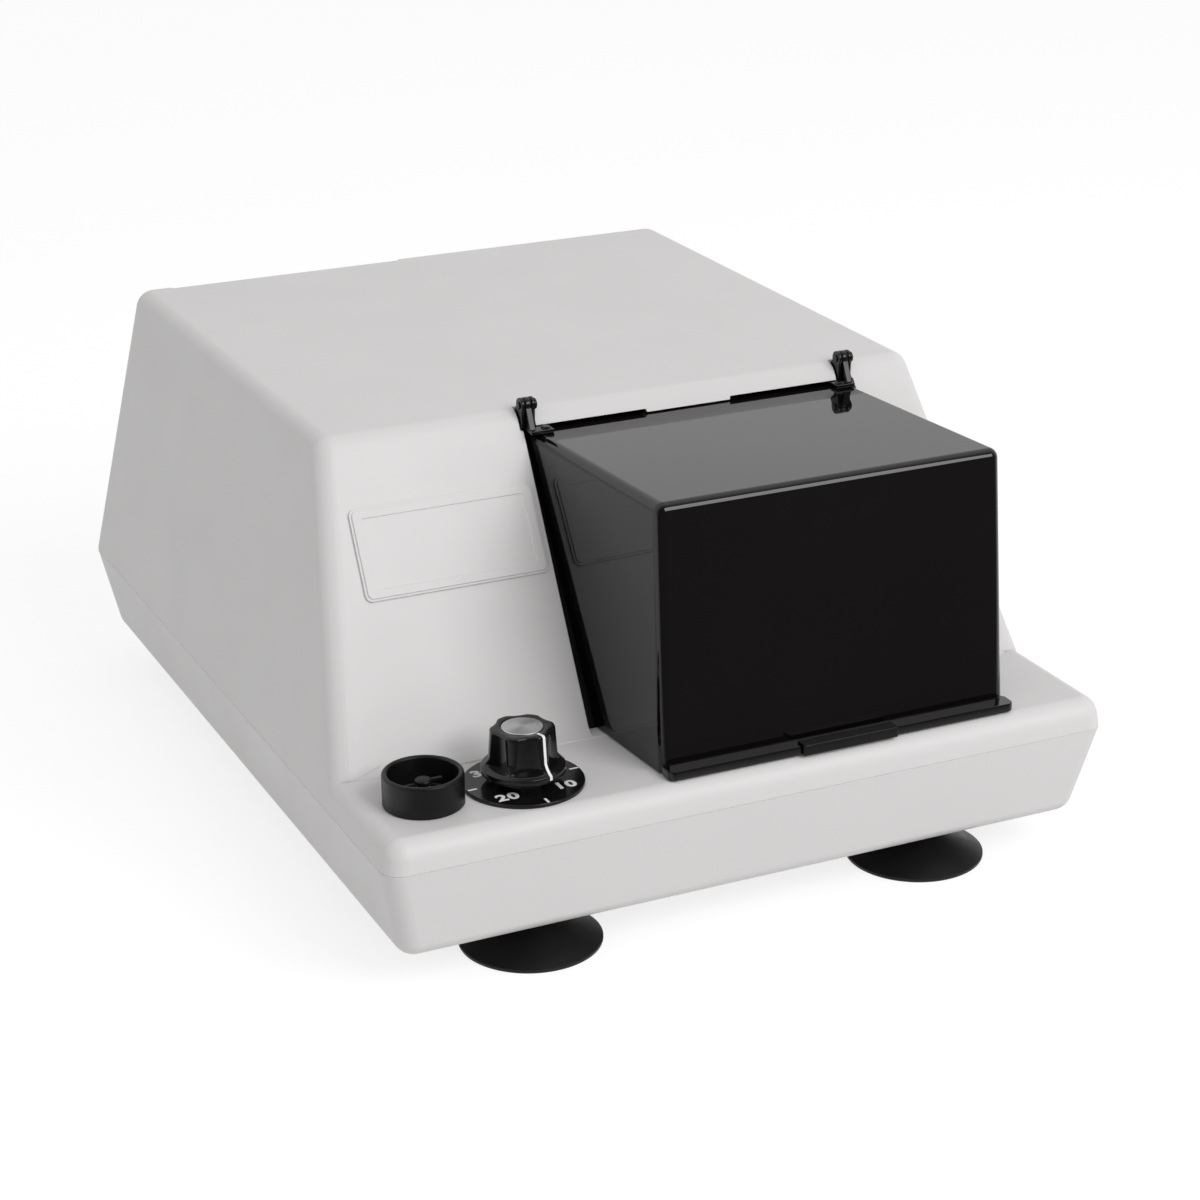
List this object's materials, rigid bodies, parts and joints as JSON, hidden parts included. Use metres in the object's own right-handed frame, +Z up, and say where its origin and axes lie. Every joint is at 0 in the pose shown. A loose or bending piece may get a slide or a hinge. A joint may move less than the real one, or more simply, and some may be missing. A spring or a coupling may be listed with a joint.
{
  "type": "dental amalgamator",
  "caption": "Table-top dental amalgamator: a wedge housing with a timer knob, start button and hinged hood over a motor-driven shaking fork for capsules.",
  "frame": {"origin": "on the bench, under the centre of the housing's outline", "axes": "+X to the right seen from the front, +Y to the back, +Z up; the front faces -Y"},
  "size_m": [0.22, 0.277, 0.1332],
  "materials": {
    "shell": "fine-textured matt moulding",
    "gloss_black": "high gloss moulding",
    "satin_black": "satin moulding",
    "cap_metal": "spun radially brushed",
    "white_paint": "painted line",
    "suction_rubber": "smooth moulded rubber",
    "mount_rubber": "moulded rubber",
    "zinc_steel": "zinc-plated sheet and hardware",
    "bright_steel": "ground or drawn steel",
    "grey_paint": "dark grey lacquer",
    "die_cast": "die-cast, as cast",
    "ferrite": "sintered",
    "iron_copper": "laminated iron and lacquered copper",
    "bronze": "sintered bronze or brass",
    "brown_resin": "moulded phenolic",
    "green_board": "solder mask",
    "transformer_iron": "varnished laminations"
  },
  "bodies": {
    "housing": {"upper_shell": "shell", "lower_shell": "shell", "label_plate": "shell", "chamber_liner": "satin_black", "timer_dial": "gloss_black", "timer_control": "satin_black", "timer_nut": "zinc_steel", "start_collar": "satin_black", "start_switch": "satin_black", "start_nut": "zinc_steel", "hinge_brackets": "gloss_black", "hinge_pins": "gloss_black", "suction_cups": "suction_rubber", "foot_studs": "zinc_steel", "foot_nuts": "zinc_steel", "housing_screws": "bright_steel", "chassis_plate": "zinc_steel", "inner_screws": "bright_steel", "motor_can": "grey_paint", "motor_end_caps": "die_cast", "motor_bearings": "bronze", "motor_magnets": "ferrite", "brush_holders": "brown_resin", "motor_bolts": "bright_steel", "motor_cradle": "zinc_steel", "motor_straps": "zinc_steel", "rubber_mounts": "mount_rubber", "spring_bracket": "zinc_steel", "arm_springs": "bright_steel", "circuit_board": "green_board", "board_posts": "bright_steel", "transformer": "transformer_iron", "power_inlet": "satin_black", "mains_switch": "satin_black", "start_spring": "bright_steel"},
    "hood_lid": {"hood": "gloss_black", "hood_finger_tab": "satin_black", "hood_leaves": "gloss_black", "hood_rivets": "satin_black"},
    "knob": {"timer_knob": "gloss_black", "knob_cap": "cap_metal", "knob_pointer": "white_paint", "timer_shaft": "zinc_steel"},
    "start_button": {"start_plunger": "satin_black"},
    "rotor": {"rotor_shaft": "bright_steel", "armature": "iron_copper", "commutator": "bronze", "cooling_fan": "satin_black", "oblique_bush": "bright_steel", "bearing_inner_ring": "bright_steel", "bearing_balls": "bright_steel"},
    "arm": {"bearing_outer_ring": "bright_steel", "arm_hub": "die_cast", "shaker_arm": "die_cast", "arm_screws": "bright_steel", "clip_pin": "bright_steel", "clip_spring": "bright_steel"},
    "clip": {"clip_jaw": "die_cast"},
    "drawer": {"fuse_drawer": "satin_black"},
    "rocker": {"mains_rocker": "satin_black"}
  },
  "joints": [
    {"name": "hood_hinge", "type": "hinge", "parent": "housing", "child": "hood_lid", "pos_m": [0.0268, -0.0512, 0.131], "axis": [-1, 0, 0], "range_deg": [0, 150]},
    {"name": "knob_turn", "type": "hinge", "parent": "housing", "child": "knob", "pos_m": [-0.0623, -0.1167, 0.048], "axis": [0, 0, -1], "range_deg": [-118, 152]},
    {"name": "start_press", "type": "slide", "parent": "housing", "child": "start_button", "axis": [0, 0, -1], "range_m": [0, 0.002], "stiffness_N_per_m": 400, "springref_m": -0.002, "deforming": ["start_spring"]},
    {"name": "rotor_spin", "type": "hinge", "parent": "housing", "child": "rotor", "pos_m": [0.025, -0.03417, 0.078], "axis": [1, 0, 0], "continuous": true},
    {"name": "arm_spin", "type": "hinge", "parent": "rotor", "child": "arm", "pos_m": [0.025, -0.03417, 0.078], "axis": [0.9925, 0, 0.1219], "continuous": true},
    {"name": "clip_open", "type": "hinge", "parent": "arm", "child": "clip", "pos_m": [0.04783, -0.08617, 0.0808], "axis": [-0.1219, 0, 0.9925], "range_deg": [0, 12], "stiffness_Nm_per_rad": 0.3, "springref_deg": -5.73},
    {"name": "rocker_tip", "type": "hinge", "parent": "housing", "child": "rocker", "pos_m": [-0.0165, 0.12, 0.082], "axis": [-1, 0, 0], "range_deg": [0, 16]},
    {"name": "drawer_slide", "type": "slide", "parent": "housing", "child": "drawer", "axis": [0, 1, 0], "range_m": [0, 0.021]}
  ],
  "couplings": [
    {"joint": "arm_spin", "follows": "rotor_spin", "ratio": -1}
  ]
}
